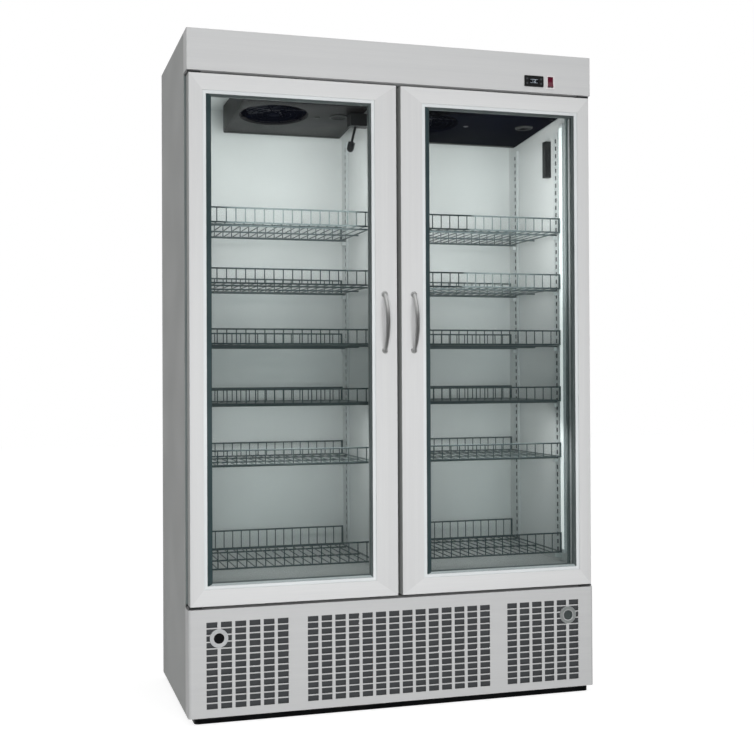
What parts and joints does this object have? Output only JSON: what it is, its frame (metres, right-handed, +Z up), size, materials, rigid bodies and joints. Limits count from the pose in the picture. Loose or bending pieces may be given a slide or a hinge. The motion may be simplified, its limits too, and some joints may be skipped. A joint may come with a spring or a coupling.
{
  "type": "upright display refrigerator",
  "caption": "Tall cabinet refrigerator with two glazed swing doors, wire shelves, ceiling cooling units, a header with thermostat and switch, and a tilting slotted service panel.",
  "frame": {"origin": "on the floor under the middle of the bounding box, handles included", "axes": "+X to the right seen from the front, -Y out of the doors, +Z up"},
  "size_m": [1.272, 0.65, 2],
  "materials": {
    "black_steel": "satin black paint",
    "foot_steel": "zinc plated",
    "side_paint": "grey coated sheet",
    "back_steel": "zinc grey sheet",
    "foam": "rigid insulating foam",
    "liner": "smooth pale liner",
    "frame_plastic": "grey plastic",
    "front_paint": "pale grey paint",
    "black_plastic": "black",
    "display_window": "dark tinted window",
    "pale_plastic": "off white",
    "rocker_plastic": "red",
    "finned_coil": "bare metal",
    "shroud_steel": "dark grey",
    "compressor_paint": "gloss black",
    "mount_rubber": "black",
    "copper_pipe": "dull copper",
    "pan_plastic": "dark grey",
    "cover_paint": "pale grey paint",
    "motor_steel": "dark grey",
    "fan_plastic": "black",
    "lamp_diffuser": "milky diffuser",
    "rail_steel": "zinc plated",
    "shelf_coating": "grey-green plastic coat on steel wire",
    "hinge_steel": "plated",
    "door_paint": "pale satin paint",
    "door_glass": "clear with a green edge",
    "gasket_rubber": "grey",
    "handle_metal": "satin",
    "lock_metal": "dark, with a worn rim",
    "button_plastic": "dark grey"
  },
  "bodies": {
    "cabinet": {"base_frame": "black_steel", "levelling_feet": "foot_steel", "side_panel_left": "side_paint", "side_panel_right": "side_paint", "back_panel": "back_steel", "rear_grille": "back_steel", "top_panel": "back_steel", "foam_insulation": "foam", "compartment_liners": "liner", "front_frame": "frame_plastic", "header_fascia": "front_paint", "thermostat_case": "black_plastic", "junction_box": "black_plastic", "air_probes": "black_plastic", "thermostat_window": "display_window", "switch_housing": "pale_plastic", "condenser": "finned_coil", "evaporator_coils": "finned_coil", "condenser_shroud": "shroud_steel", "compressor": "compressor_paint", "compressor_mounts": "mount_rubber", "refrigerant_pipes": "copper_pipe", "evaporation_pan": "pan_plastic", "fan_covers": "cover_paint", "fan_motors": "motor_steel", "lamps": "lamp_diffuser", "shelf_rails": "rail_steel", "shelf_clips": "rail_steel", "shelf_left_1": "shelf_coating", "shelf_left_2": "shelf_coating", "shelf_left_3": "shelf_coating", "shelf_left_4": "shelf_coating", "shelf_left_5": "shelf_coating", "shelf_right_1": "shelf_coating", "shelf_right_2": "shelf_coating", "shelf_right_3": "shelf_coating", "shelf_right_4": "shelf_coating", "shelf_right_5": "shelf_coating", "basket_left": "shelf_coating", "basket_right": "shelf_coating", "hinge_brackets": "hinge_steel"},
    "door_left": {"door_frame_left": "door_paint", "door_glass_left": "door_glass", "door_gasket_left": "gasket_rubber", "door_handle_left": "handle_metal"},
    "door_right": {"door_frame_right": "door_paint", "door_glass_right": "door_glass", "door_gasket_right": "gasket_rubber", "door_handle_right": "handle_metal"},
    "service_panel": {"lower_panel": "front_paint"},
    "lock_left": {"panel_lock_left": "lock_metal"},
    "lock_right": {"panel_lock_right": "lock_metal"},
    "condenser_fan_rotor": {"condenser_fan": "fan_plastic"},
    "ceiling_rotor_left": {"ceiling_fan_left": "fan_plastic"},
    "ceiling_rotor_right": {"ceiling_fan_right": "fan_plastic"},
    "rocker": {"switch_rocker": "rocker_plastic"},
    "up_key": {"button_up": "button_plastic"},
    "down_key": {"button_down": "button_plastic"},
    "set_key": {"button_set": "button_plastic"},
    "defrost_key": {"button_defrost": "button_plastic"}
  },
  "joints": [
    {"name": "door_left_hinge", "type": "hinge", "parent": "cabinet", "child": "door_left", "pos_m": [-0.61, -0.258, 1.104], "axis": [0, 0, -1], "range_deg": [0, 110]},
    {"name": "door_right_hinge", "type": "hinge", "parent": "cabinet", "child": "door_right", "pos_m": [0.61, -0.258, 1.104], "axis": [0, 0, 1], "range_deg": [0, 110]},
    {"name": "panel_tilt", "type": "hinge", "parent": "cabinet", "child": "service_panel", "pos_m": [0, -0.275, 0.027], "axis": [1, 0, 0], "range_deg": [0, 80]},
    {"name": "lock_left_turn", "type": "hinge", "parent": "service_panel", "child": "lock_left", "pos_m": [-0.548, -0.283, 0.246], "axis": [0, 1, 0], "range_deg": [0, 90]},
    {"name": "lock_right_turn", "type": "hinge", "parent": "service_panel", "child": "lock_right", "pos_m": [0.548, -0.283, 0.246], "axis": [0, -1, 0], "range_deg": [0, 90]},
    {"name": "condenser_fan_spin", "type": "hinge", "parent": "cabinet", "child": "condenser_fan_rotor", "pos_m": [-0.33, -0.113, 0.142], "axis": [0, 1, 0], "continuous": true},
    {"name": "ceiling_fan_left_spin", "type": "hinge", "parent": "cabinet", "child": "ceiling_rotor_left", "pos_m": [-0.333, -0.045, 1.837], "axis": [0, 0, 1], "continuous": true},
    {"name": "ceiling_fan_right_spin", "type": "hinge", "parent": "cabinet", "child": "ceiling_rotor_right", "pos_m": [0.166, -0.045, 1.837], "axis": [0, 0, 1], "continuous": true},
    {"name": "rocker_tilt", "type": "hinge", "parent": "cabinet", "child": "rocker", "pos_m": [0.499, -0.279, 1.914], "axis": [1, 0, 0], "range_deg": [0, 16]},
    {"name": "up_press", "type": "slide", "parent": "cabinet", "child": "up_key", "axis": [0, 1, 0], "range_m": [0, 0.001], "stiffness_N_per_m": 1200, "springref_m": -0.0003},
    {"name": "down_press", "type": "slide", "parent": "cabinet", "child": "down_key", "axis": [0, 1, 0], "range_m": [0, 0.001], "stiffness_N_per_m": 1200, "springref_m": -0.0003},
    {"name": "set_press", "type": "slide", "parent": "cabinet", "child": "set_key", "axis": [0, 1, 0], "range_m": [0, 0.001], "stiffness_N_per_m": 1200, "springref_m": -0.0003},
    {"name": "defrost_press", "type": "slide", "parent": "cabinet", "child": "defrost_key", "axis": [0, 1, 0], "range_m": [0, 0.001], "stiffness_N_per_m": 1200, "springref_m": -0.0003}
  ]
}
